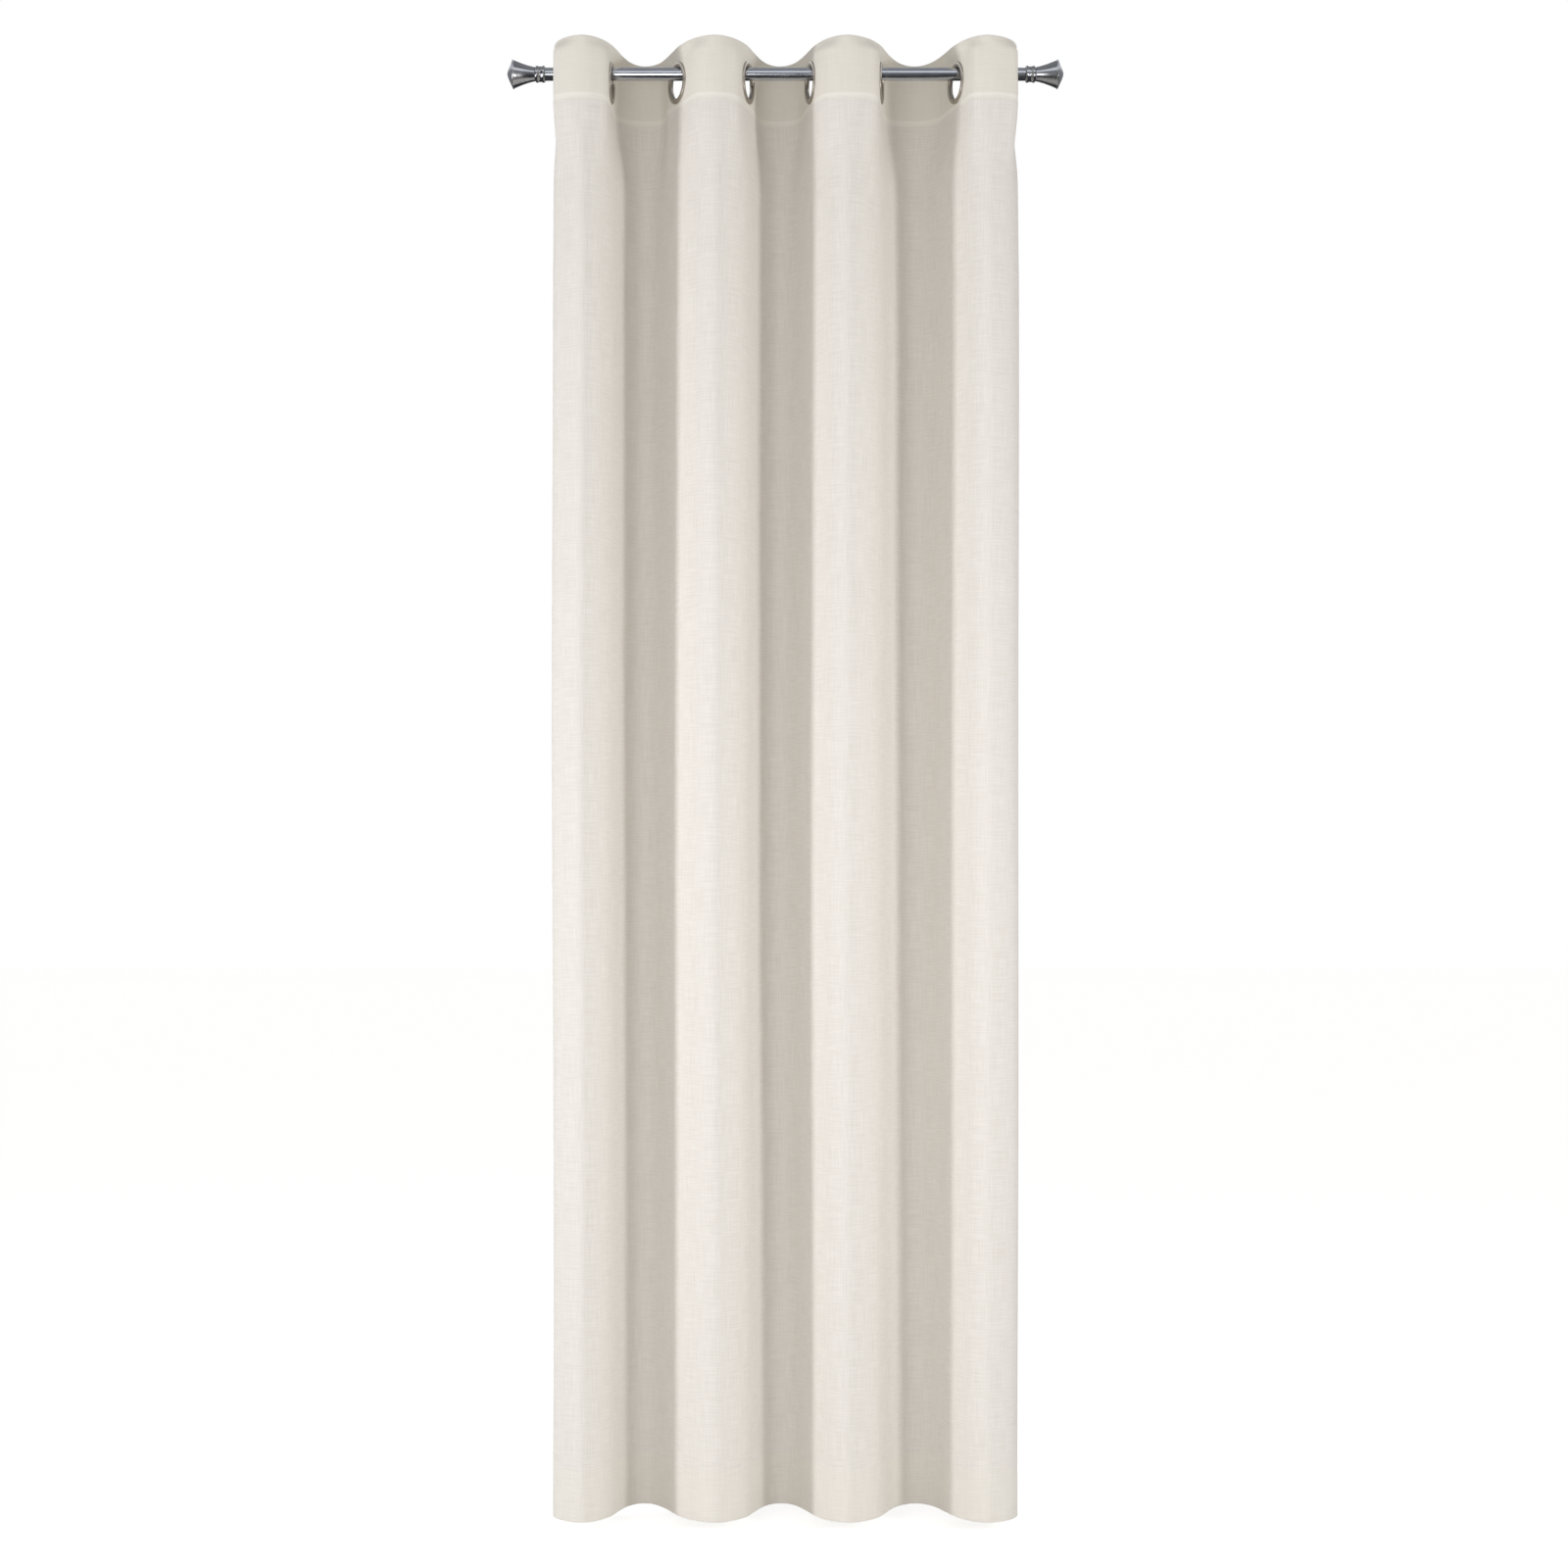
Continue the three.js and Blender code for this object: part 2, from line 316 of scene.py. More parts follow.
clothFinish = linenMaterial()
threadFinish = threadMaterial()
rodFinish = metalMaterial("satinChromeRod", (0.62, 0.64, 0.68, 1), (0.52, 0.54, 0.58, 1),
                          (6, 900, 900), 0.14, 0.30, 0.00002)
ringFinish = metalMaterial("warmNickelRing", (0.52, 0.48, 0.42, 1), (0.40, 0.36, 0.31, 1),
                           (300, 300, 300), 0.24, 0.42, 0.00002)
finialFinish = metalMaterial("smokedChromeFinial", (0.50, 0.51, 0.53, 1), (0.42, 0.43, 0.45, 1),
                             (1500, 20, 20), 0.15, 0.28, 0.00001)
grubFinish = metalMaterial("blackedSteelScrew", (0.10, 0.10, 0.11, 1), (0.05, 0.05, 0.055, 1),
                           (400, 400, 400), 0.35, 0.6, 0.00003)
print("finishes mixed")

# turned metal


def turned(outline, steps, closed, rounded=()):  # outline is (radius, along X); rounded is (corner, size)
    shape = bmesh.new()
    points = [shape.verts.new((along, 0, radius)) for radius, along in outline]
    for before, after in zip(points, points[1:]):
        shape.edges.new((before, after))
    if closed:
        shape.edges.new((points[-1], points[0]))
    for corner, size in rounded:
        bmesh.ops.bevel(shape, geom=[points[corner]], offset=size, offset_type="OFFSET", segments=4,
                        profile=0.5, affect="VERTICES", material=-1)
    bmesh.ops.spin(shape, geom=shape.verts[:] + shape.edges[:], cent=(0, 0, 0), axis=(1, 0, 0),
                   angle=math.tau, steps=steps, use_merge=True, use_duplicate=False)
    bmesh.ops.remove_doubles(shape, verts=shape.verts, dist=1e-6)
    bmesh.ops.recalc_face_normals(shape, faces=shape.faces)
    return shape


rodTube = {"radius": 0.0095, "wall": 0.0013, "edge": 0.0004, "steps": 96}


def buildRod():
    low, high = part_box("rod_tube")
    inner = rodTube["radius"] - rodTube["wall"]
    outline = [(inner, low.x), (rodTube["radius"], low.x), (rodTube["radius"], high.x), (inner, high.x)]
    shape = turned(outline, rodTube["steps"], True, [(corner, rodTube["edge"]) for corner in range(4)])
    piece = finishPiece("curtain_rod", shape, rodFinish)
    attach(piece, "rod")
    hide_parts("rod_tube")


finial = {
    "collar": 0.0112,
    "collarEdge": 0.0004,
    "ridge": 0.0122,
    "ridgeShare": 0.30,  # of the collar's length
    "ridgeInset": 0.0003,
    "boreGap": 0.0001,
    "gap": 0.0002,  # between the head, the collar and the end of the rod
    "neck": 0.0101,
    "neckPull": (0.0016, 0.0100),  # handles of the bell's curve, out and along from its ends
    "bellPull": (-0.0046, -0.0095),
    "bellLip": 0.0004,
    "rim": 0.0208,
    "rimEdge": 0.0009,
    "rimSink": 0.35,  # share of the rim's bead that lies inside its radius
    "cap": 0.0098,  # from the rim to the tip
    "capLip": 0.0006,
    "capPull": (-0.0075, 0.0052),
    "tipPull": (0.0060, -0.0006),
    "spigot": 0.0079,
    "spigotEdge": 0.0008,
    "screwRadius": 0.0019,
    "screwEdge": 0.0002,
    "socketWall": 0.0008,
    "socketDepth": 0.0013,
    "steps": 96,
}


def ridge(start, length, steps=6):  # one rounded bead on a collar
    low, high = finial["collar"], finial["ridge"]
    beads = []
    for i in range(steps + 1):
        turn = math.pi * i / steps
        beads.append((low + (high - low) * math.sin(turn), start + length * (1 - math.cos(turn)) / 2))
    return beads


def buildCollar(body, start, end):
    bore = rodTube["radius"] + finial["boreGap"]
    length = finial["ridgeShare"] * (end - start)
    outline = [(bore, start), (finial["collar"] - finial["collarEdge"], start)]
    outline += ridge(start + finial["ridgeInset"], length)
    outline += ridge(end - finial["ridgeInset"] - length, length)
    outline += [(finial["collar"] - 2 * finial["collarEdge"], end), (bore, end)]
    return finishPiece(body + "_ridges", turned(outline, finial["steps"], True), finialFinish)


def bellLine(neckAt, rimAt):
    start = Vector((finial["neck"], neckAt))
    end = Vector((finial["rim"] - finial["bellLip"], rimAt))
    beforeRim = Vector((finial["rim"], rimAt)) + Vector(finial["bellPull"])
    return interpolate_bezier(start, start + Vector(finial["neckPull"]), beforeRim, end, 22)


def capLine(rimAt, tip):
    start = Vector((finial["rim"] - finial["capLip"], rimAt + 2 * finial["rimEdge"]))
    pastRim = Vector((finial["rim"], rimAt)) + Vector(finial["capPull"])
    end = Vector((0, tip))
    return interpolate_bezier(start, pastRim, end + Vector(finial["tipPull"]), end, 20)


def rimLine(rimAt):  # the bead between the bell and its cap
    line = []
    for i in range(1, 6):
        turn = math.pi * i / 6
        line.append((finial["rim"] + finial["rimEdge"] * (math.sin(turn) - finial["rimSink"]),
                     rimAt + finial["rimEdge"] * (1 - math.cos(turn))))
    return line


def buildHead(body, start, neckAt, tip):
    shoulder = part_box("rod_tube")[1].x + finial["gap"]
    spigot, edge, rimAt = finial["spigot"], finial["spigotEdge"], tip - finial["cap"]
    outline = [(0, start), (spigot - edge, start), (spigot, start + edge), (spigot, shoulder),
               (rodTube["radius"], shoulder), (rodTube["radius"], neckAt)]
    outline += [tuple(p) for p in bellLine(neckAt, rimAt)] + rimLine(rimAt)
    outline += [tuple(p) for p in capLine(rimAt, tip)]
    return finishPiece(body + "_bell", turned(outline, finial["steps"], False), finialFinish)


def buildGrub(body, way):
    low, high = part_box(body + "_screw")
    shape = bmesh.new()
    bmesh.ops.create_cone(shape, cap_ends=True, segments=32, radius1=finial["screwRadius"],
                          radius2=finial["screwRadius"], depth=high.y - low.y)
    ends = [edge for edge in shape.edges if abs(edge.verts[0].co.z - edge.verts[1].co.z) < 1e-6]
    bmesh.ops.bevel(shape, geom=ends, offset=finial["screwEdge"], offset_type="OFFSET", segments=2,
                    profile=0.5, affect="EDGES", material=-1)
    caps = [face for face in shape.faces if len(face.verts) > 8]
    outer = max(caps, key=lambda face: face.calc_center_median().z)
    bmesh.ops.inset_region(shape, faces=[outer], thickness=finial["socketWall"], use_even_offset=True)
    pushed = bmesh.ops.extrude_discrete_faces(shape, faces=[outer])["faces"]
    bmesh.ops.translate(shape, vec=(0, 0, -finial["socketDepth"]), verts=pushed[0].verts)
    bmesh.ops.recalc_face_normals(shape, faces=shape.faces)
    lay = Matrix.Rotation(-way * math.pi / 2, 3, "X")
    bmesh.ops.rotate(shape, cent=(0, 0, 0), matrix=lay, verts=shape.verts)
    bmesh.ops.translate(shape, vec=(low + high) / 2, verts=shape.verts)
    return finishPiece(body + "_grub", shape, grubFinish)


def buildFinial(side, way):  # turned for the right end; way is -1 for the left
    body = "finial_" + side
    collarStart, collarEnd = sorted(abs(corner.x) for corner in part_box(body + "_collar"))
    spigotStart, tip = sorted(abs(corner.x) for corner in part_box(body + "_head"))
    collar = buildCollar(body, collarStart, collarEnd)
    head = buildHead(body, spigotStart, collarEnd + finial["gap"], tip)
    grub = buildGrub(body, way)
    if way < 0:
        for piece in (collar, head):
            piece.data.transform(Matrix.Rotation(math.pi, 4, "Z"))
    for piece, node, slot in ((collar, "_collar", "finial_metal"), (head, "_head", "finial_metal"),
                              (grub, "_screw", "screw_metal")):
        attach(piece, body)
        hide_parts(body + node)


buildRod()
buildFinial("right", 1)
buildFinial("left", -1)
print("rod and finials turned")

# the curtain, from where the cloth crosses the rod

curtain = {
    "thickness": 0.0005,
    "columnStep": 0.0040,  # across the cloth
    "headingStep": 0.0032,  # down the heading
    "seamStep": 0.0012,  # across its seam
    "underSeamStep": 0.0050,
    "bodyStep": 0.0105,  # down the rest
    "hemEdgeStep": 0.0025,
    "hemStep": 0.0090,
    "heading": 0.090,
    "allowance": 0.008,  # turned under at the heading seam
    "stitchAbove": 0.0022,  # heading seam over the facing's lower edge
    "behind": 0.0015,  # facing behind the front
    "hem": 0.075,
    "hemBehind": 0.0010,
    "sideHem": 0.025,
    "sideBehind": 0.0007,
    "sideRound": 0.0005,  # how far the turned side edge bulges
    "sideStack": 0.0013,  # extra depth where a side hem is caught in the heading or hem
    "stackEase": 0.020,
    "hole": 0.0250,
    "holeReach": 0.006,  # a hole is only cut in cloth this near its ring
    "holeSnap": 0.2,  # share of the radius over which the cut is drawn to the circle
    "headingTone": 0.55,
    "hemTone": 0.25,
    "allowanceTone": 0.75,
    # the plan at the rings
    "flat": 0.032,  # half of the flat stretch round an eyelet
    "stillPast": 0.004,  # cloth beyond it that still moves with the eyelet
    "leave": 0.34,  # handles of the plan curve, as shares of its span
    "round": 0.56,
    "crestShare": (0.467, 0.51, 0.51, 0.49, 0.51, 0.44, 0.481),
    "tucked": {1: 0.0038, 8: 0.0075},  # eyelets hidden behind an outer fold, and how far it swells past them
    "shoulderAhead": 0.009,  # where that swell is widest
    "shoulderReach": (0.40, 0.25),
    "shoulderRound": 0.50,
    "sideDepth": 0.062,  # where the free sides end, behind the rod
    "sideIn": 0.002,
    # the softer plan away from the rings
    "looseLean": (-3, 14, 20, 15, 17, 17, 17, -3),  # degrees from square
    "looseAt": (-0.3358, -0.247, -0.159, -0.051, 0.038, 0.143, 0.240, 0.3365),
    "looseShare": (0.50, 0.443, 0.537, 0.483, 0.486, 0.505, 0.516),
    "looseCrest": -0.060,
    "looseValley": 0.082,
    "looseLeave": 0.47,
    "looseRound": 0.23,
    "looseSideIn": 0.007,
    "looseSideReach": 0.40,
    "ringLow": -0.046,  # the cloth keeps to the plan at the rings between these heights
    "ringHigh": 0.019,
    "settle": 0.120,  # it finds the softer plan over this drop
    "topSlack": 0.95,
    "topDepth": 1.075,  # the folds are deeper at the top edge than at the hem
    "hemDepth": 0.88,
    "topSpread": 1.006,  # and a little wider
    "hemSpread": 0.994,
    # unevenness, which starts below the heading
    "loosen": 0.125,  # share of the drop over which it grows to its full size
    "wander": 0.0044,
    "wanderScale": (3.2, 1.1, 4.4),  # along X, down Z, seed
    "ripple": 0.0014,
    "ripples": (((21, 2.3, 7.1), 0.7), ((47, 4.1, 2.6), 0.3)),  # across the cloth, down Z, seed; share
    "calm": (0.008, 0.030),  # the cuts behind the rings stay plain
    "seamPull": 0.0004,
    "seamPullWidth": 0.0018,
}
curvePoints = 40
cadThickness = 0.0016  # of the strips in the frame
eyeletCount = len([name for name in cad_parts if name.endswith("_front")])
clothBottom, clothTop = (corner.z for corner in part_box("panel_fold_1"))
headingEdge = clothTop - curtain["heading"]
hemTop = clothBottom + curtain["hem"]


def smooth(value, low, high):  # 0 at low, 1 at high, easing between
    share = min(max((value - low) / (high - low), 0), 1)
    return share * share * (3 - 2 * share)


def crossingAt(number):  # plan place and direction of the cloth at one eyelet
    low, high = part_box(f"panel_eyelet_{number}")
    width = 2 * curtain["flat"]
    across, deep = high.x - low.x, high.y - low.y
    square = width ** 2 - cadThickness ** 2
    lean = Vector((width * across - cadThickness * deep, width * deep - cadThickness * across)) / square
    forward = -1 if number % 2 else 1  # odd gaps come forward
    tuck = -1 if number in curtain["tucked"] else 1
    return Vector(((low.x + high.x) / 2, 0)), Vector((tuck * lean.x, forward * lean.y)).normalized()


crossings = [crossingAt(number) for number in range(1, eyeletCount + 1)]


def easedCurve(start, startWay, startReach, end, endWay, endReach):
    span = (end - start).length
    return interpolate_bezier(start, start + startWay * startReach * span,
                              end - endWay * endReach * span, end, curvePoints)


def lengthsAlong(points):
    lengths = [0]
    for before, after in zip(points, points[1:]):
        lengths.append(lengths[-1] + (after - before).length)
    return lengths


def evenly(points, step=None, count=None):  # the same line again at even steps
    lengths = lengthsAlong(points)
    count = count or round(lengths[-1] / step)
    line, index = [], 0
    for i in range(count + 1):
        wanted = lengths[-1] * i / count
        while index < len(points) - 2 and lengths[index + 1] < wanted:
            index += 1
        share = (wanted - lengths[index]) / (lengths[index + 1] - lengths[index])
        line.append(points[index].lerp(points[index + 1], share))
    return line


def halfFold(start, way, crest, swell):  # from an eyelet's flat stretch to the crest or valley
    if not swell:
        return easedCurve(start, way, curtain["leave"], crest, Vector((1, 0)), curtain["round"])
    shoulder = start + Vector((-swell, -curtain["shoulderAhead"]))
    forward = Vector((0, -1))
    before, after = curtain["shoulderReach"]
    line = easedCurve(start, way, before, shoulder, forward, before)
    return line + easedCurve(shoulder, forward, after, crest, Vector((1, 0)), curtain["shoulderRound"])[1:]


def mirrored(point):
    return Vector((-point.x, point.y))


def foldLine(number):  # from the middle of one eyelet to the middle of the next
    (fromAt, fromWay), (toAt, toWay) = crossings[number - 1], crossings[number]
    turnX = fromAt.x + curtain["crestShare"][number - 1] * (toAt.x - fromAt.x)
    turnY = curtain["topDepth"] * (curtain["looseCrest"] if number % 2 else curtain["looseValley"])
    start = fromAt + fromWay * curtain["flat"]
    end = toAt - toWay * curtain["flat"]
    crest = Vector((turnX, turnY))
    out = halfFold(start, fromWay, crest, curtain["tucked"].get(number, 0))
    back = halfFold(mirrored(end), mirrored(-toWay), mirrored(crest), curtain["tucked"].get(number + 1, 0))
    back = [mirrored(point) for point in back[-2::-1]]
    return evenly([fromAt] + out + back + [toAt], curtain["columnStep"])


def looseLean(number):  # where and how the cloth crosses under the rod, clear of the rings
    lean = math.radians(curtain["looseLean"][number - 1])
    forward = -1 if number % 2 else 1
    return Vector((curtain["looseAt"][number - 1], 0)), Vector((math.sin(lean), forward * math.cos(lean)))


def looseFold(number, count):  # the softer line of the same fold, away from the rings
    (fromAt, fromWay), (toAt, toWay) = looseLean(number), looseLean(number + 1)
    turnX = fromAt.x + curtain["looseShare"][number - 1] * (toAt.x - fromAt.x)
    crest = Vector((turnX, curtain["looseCrest"] if number % 2 else curtain["looseValley"]))
    out = easedCurve(fromAt, fromWay, curtain["looseLeave"], crest, Vector((1, 0)), curtain["looseRound"])
    back = easedCurve(crest, Vector((1, 0)), curtain["looseRound"], toAt, toWay, curtain["looseLeave"])
    return evenly(out + back[1:], count=count)


def sideLine(number, outward):  # from the outermost eyelet's middle to the free side
    at, way = crossings[number - 1]
    start = at + way * outward * curtain["flat"]
    end = Vector((start.x - outward * curtain["sideIn"], curtain["sideDepth"]))
    line = easedCurve(start, way * outward, curtain["round"], end, Vector((0, 1)), curtain["leave"])
    return evenly([at] + line, curtain["columnStep"])


def looseSide(number, outward, count):
    at, way = looseLean(number)
    reach = curtain["looseSideReach"]
    end = at + Vector((-outward * curtain["looseSideIn"], curtain["sideDepth"]))
    return evenly(easedCurve(at, way * outward, reach, end, Vector((0, 1)), reach), count=count)


def turnedUnder(source, edge, outward):  # a side hem, and the round of its edge
    folded = [dict(column, side=1.0, run=2 * edge - column["run"]) for column in source]
    turn = []
    for share in (0.85, 0.5, 0.15):
        bulge = curtain["sideRound"] * math.sin(math.pi * share)
        at = [place + Vector((out.y, -out.x)) * outward * bulge
              for place, out in zip(source[0]["at"], source[0]["out"])]
        run = edge + outward * curtain["sideBehind"] * share
        turn.append(dict(source[0], at=at, side=share, run=run, stack=1.0))
    return folded[::-1] + turn


def planColumns():  # for each column: its places and normals on both plans, cloth length, side hem, stack
    line = sideLine(1, -1)[::-1]
    slack = looseSide(1, -1, len(line) - 1)[::-1]
    seams = [len(line) - 1]
    for number in range(1, eyeletCount):
        fold = foldLine(number)
        line += fold[1:]
        slack += looseFold(number, len(fold) - 1)[1:]
        seams.append(len(line) - 1)
    side = sideLine(eyeletCount, 1)
    line += side[1:]
    slack += looseSide(eyeletCount, 1, len(side) - 1)[1:]
    lengths = lengthsAlong(line)
    columns = []
    for i, point in enumerate(line):
        outs = []
        for plan in (line, slack):
            way = (plan[min(i + 1, len(plan) - 1)] - plan[max(i - 1, 0)]).normalized()
            outs.append(Vector((-way.y, way.x)))
        edge = min(lengths[i], lengths[-1] - lengths[i])
        stack = 1 - smooth(edge, curtain["sideHem"], curtain["sideHem"] + curtain["stackEase"])
        columns.append({"at": (point, slack[i]), "out": outs, "run": lengths[i], "side": 0.0, "stack": stack})
    leftHem = [column for column in columns if column["run"] <= curtain["sideHem"]]
    rightHem = [column for column in columns[::-1] if lengths[-1] - column["run"] <= curtain["sideHem"]]
    left = turnedUnder(leftHem, 0, -1)
    right = turnedUnder(rightHem, lengths[-1], 1)[::-1]
    return left + columns + right, [seam + len(left) for seam in seams]


columns, seams = planColumns()
print("plan of the folds:", len(columns), "columns")


def clothRows():  # the sewn path: up the facing, over the top, down the front, round the hem and up behind
    rows = []

    def add(z, share, turn, behind, step):
        run = rows[-1]["run"] + step if rows else 0
        rows.append({"z": z, "share": share, "turn": turn, "behind": behind, "run": run})

    def straight(fromZ, toZ, step, share, behind):
        count = max(1, round(abs(toZ - fromZ) / step))
        for i in range(count + 1):
            if i == 0 and rows:
                continue
            z = fromZ + (toZ - fromZ) * i / count
            add(z, share, 1 - 2 * share, behind, abs(toZ - fromZ) / count)

    def arc(z, radius, fromAngle, toAngle, behind, upward):
        for i in range(1, 6):
            angle = fromAngle + (toAngle - fromAngle) * i / 5
            add(z + upward * radius * math.sin(angle), (1 - math.cos(angle)) / 2, math.cos(angle), behind,
                radius * math.pi / 5)

    topRound, hemRound = curtain["behind"] / 2, curtain["hemBehind"] / 2
    straight(headingEdge, clothTop - topRound, curtain["headingStep"], 1.0, curtain["behind"])
    arc(clothTop - topRound, topRound, math.pi, 0, curtain["behind"], 1)
    z = clothTop - topRound
    for lower, step in ((headingEdge + curtain["allowance"], "headingStep"),
                        (headingEdge - 0.004, "seamStep"), (headingEdge - 0.060, "underSeamStep"),
                        (hemTop + 0.010, "bodyStep"), (hemTop - 0.010, "hemEdgeStep"),
                        (clothBottom + hemRound, "hemStep")):
        straight(z, lower, curtain[step], 0.0, 0)
        z = lower
    arc(clothBottom + hemRound, hemRound, 0, math.pi, curtain["hemBehind"], -1)
    straight(clothBottom + hemRound, hemTop, curtain["hemStep"], 1.0, curtain["hemBehind"])
    return rows


rows = clothRows()
seamZ = headingEdge + curtain["stitchAbove"]
print("drop of the cloth:", len(rows), "rows,", round(rows[-1]["run"], 3), "m")


def calm(run):  # 0 in the middle of each flat stretch, 1 away from it
    return smooth(min(abs(run - columns[seam]["run"]) for seam in seams), *curtain["calm"])


for column in columns:
    column["calm"] = calm(column["run"])


def slackness(z):  # 0 across the rings, 1 well below them, part way at the top edge
    below = smooth(curtain["ringLow"] - z, 0, curtain["settle"])
    above = smooth(z - curtain["ringHigh"], 0, clothTop - curtain["ringHigh"]) * curtain["topSlack"]
    return max(below, above)


def noiseAt(across, z, scale):
    return noise.noise(Vector((across * scale[0], z * scale[1], scale[2])))


def clothPoint(column, row):
    z = row["z"]
    loose = min(max((headingEdge - z) / (headingEdge - clothBottom), 0) / curtain["loosen"], 1)
    ripple = sum(noiseAt(column["run"], z, scale) * share for scale, share in curtain["ripples"])
    depth = row["share"] * (row["behind"] + column["stack"] * curtain["sideStack"])
    depth += column["side"] * curtain["sideBehind"] * row["turn"]
    depth += curtain["ripple"] * ripple * loose * column["calm"]
    if row["share"] == 0:
        depth += curtain["seamPull"] * math.exp(-((z - seamZ) / curtain["seamPullWidth"]) ** 2)
    drop = (clothTop - z) / (clothTop - clothBottom)
    settled = column["at"][1].copy()
    settled.x *= curtain["topSpread"] + (curtain["hemSpread"] - curtain["topSpread"]) * drop
    settled.y *= curtain["topDepth"] + (curtain["hemDepth"] - curtain["topDepth"]) * drop
    slack = slackness(z)
    at = column["at"][0].lerp(settled, slack)
    out = column["out"][0].lerp(column["out"][1], slack).normalized()
    sway = noiseAt(at.x, z, curtain["wanderScale"]) * curtain["wander"] * loose
    return Vector((at.x + out.x * depth + sway, at.y + out.y * depth, z))


def eyeletPlace(number):
    low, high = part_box(f"eyelet_{number}_front")
    at, way = crossings[number - 1]
    return Vector((at.x, at.y, (low.z + high.z) / 2)), Vector((way.x, way.y, 0))


def layerTone(z):  # how much of the doubled cloth's tone shows
    if z >= headingEdge - curtain["thickness"]:
        return curtain["headingTone"]
    return curtain["hemTone"] if z < hemTop else 0.0


def allowanceTone(z):  # the paler band where the allowance shows through
    above = smooth(z, headingEdge - 0.001, headingEdge)
    below = smooth(headingEdge + curtain["allowance"] - z, 0, 0.0015)
    return curtain["allowanceTone"] * above * below


def buildFold(number):
    first = 0 if number == 1 else seams[number - 1]
    last = len(columns) - 1 if number == eyeletCount - 1 else seams[number]
    strip = columns[first:last + 1]
    shape = bmesh.new()
    bmesh.ops.create_grid(shape, x_segments=len(strip) - 1, y_segments=len(rows) - 1, size=1)
    shape.verts.ensure_lookup_table()
    flat = shape.loops.layers.uv.new("flatCloth")
    layers = shape.verts.layers.float.new("layers")
    allowance = shape.verts.layers.float.new("allowance")
    laid = {}
    for index, vert in enumerate(shape.verts):
        row, column = rows[index // len(strip)], strip[index % len(strip)]
        laid[vert] = (column["run"], row["run"])
        vert.co = clothPoint(column, row)
        vert[layers] = layerTone(row["z"])
        vert[allowance] = allowanceTone(row["z"])
    for face in shape.faces:
        for loop in face.loops:
            loop[flat].uv = laid[loop.vert]
    for eyelet in {number, number + 1}:
        cutHole(shape, *eyeletPlace(eyelet))
    bmesh.ops.reverse_faces(shape, faces=shape.faces)
    piece = finishPiece(f"curtain_fold_{number}", shape, clothFinish)
    wall = piece.modifiers.new("clothThickness", "SOLIDIFY")
    wall.thickness = curtain["thickness"]
    wall.offset = 0
    wall.use_rim = False  # the cuts behind the rings must not show
    return piece, strip


def cutHole(shape, middle, way):
    def flatOffset(point):
        away = point - middle
        return Vector((away.dot(way), 0, away.z))

    def isNear(point):  # the cloth of other folds is left alone
        return abs((point - middle).dot(square)) < curtain["holeReach"]

    radius = curtain["hole"]
    square = Vector((-way.y, way.x, 0))
    middles = {face: face.calc_center_median() for face in shape.faces}
    cut = [face for face, at in middles.items() if flatOffset(at).length < radius and isNear(at)]
    bmesh.ops.delete(shape, geom=cut, context="FACES")
    for vert in shape.verts:
        away = flatOffset(vert.co)
        if vert.is_boundary and isNear(vert.co) and abs(away.length / radius - 1) < curtain["holeSnap"]:
            moved = away * (radius / away.length - 1)
            vert.co += way * moved.x + Vector((0, 0, moved.z))


# its stitching

stitch = {
    "pitch": 0.0034,
    "length": 0.0026,
    "width": 0.0005,
    "height": 0.0003,
    "lift": 0.0003,  # a stitch's middle over the middle of the cloth
    "sidePitch": 0.0044,
    "sideStart": 0.002,  # side seams start this far below the heading
    "catchPitch": 0.0115,  # hem catch stitches only show behind
    "catchLength": 0.0018,
    "catchBelow": 0.0015,
    "inset": 0.0024,  # side seam in from the turned edge
    "stopShort": 0.004,  # cross seams stop short of the side edges
}
frontColumns = [column for column in columns if column["side"] == 0]
frontRuns = [column["run"] for column in frontColumns]
clothWidth = frontRuns[-1]


def clothAt(run, row, side=0.0):  # a place on the sewn cloth and the way along it
    after = min(max(bisect(frontRuns, run), 1), len(frontColumns) - 1)
    near, far = (dict(frontColumns[index], side=side) for index in (after - 1, after))
    share = (run - near["run"]) / (far["run"] - near["run"])
    nearAt, farAt = clothPoint(near, row), clothPoint(far, row)
    return nearAt.lerp(farAt, share), (farAt - nearAt).normalized()


def buildBead():
    shape = bmesh.new()
    bmesh.ops.create_uvsphere(shape, u_segments=8, v_segments=4, radius=1)
    bead = bpy.data.meshes.new("threadBead")
    shape.to_mesh(bead)
    shape.free()
    return bead


bead = buildBead()


def addStitch(shape, middle, along, out, length):
    across = along.cross(out)
    place = Matrix((along * length / 2, out * stitch["height"], across * stitch["width"] / 2))
    place = place.transposed().to_4x4()
    place.translation = middle + out * stitch["lift"]
    one = bead.copy()
    one.transform(place)
    shape.from_mesh(one)
    bpy.data.meshes.remove(one)


def seamAcross(shape, fromRun, toRun, row, pitch, length, face):  # face is 1 behind, -1 in front
    for i in range(max(1, int((toRun - fromRun) / pitch))):
        middle, along = clothAt(fromRun + (i + 0.5) * pitch, row)
        addStitch(shape, middle, along, Vector((-along.y, along.x, 0)) * face, length)


def seamDown(shape, run, face):
    top = headingEdge - stitch["sideStart"]
    for i in range(int((top - hemTop) / stitch["sidePitch"])):
        row = {"z": top - (i + 0.5) * stitch["sidePitch"], "share": 0.0, "turn": 1, "behind": 0}
        middle, along = clothAt(run, row, side=1.0 if face > 0 else 0.0)
        addStitch(shape, middle, Vector((0, 0, -1)), Vector((-along.y, along.x, 0)) * face, stitch["length"])


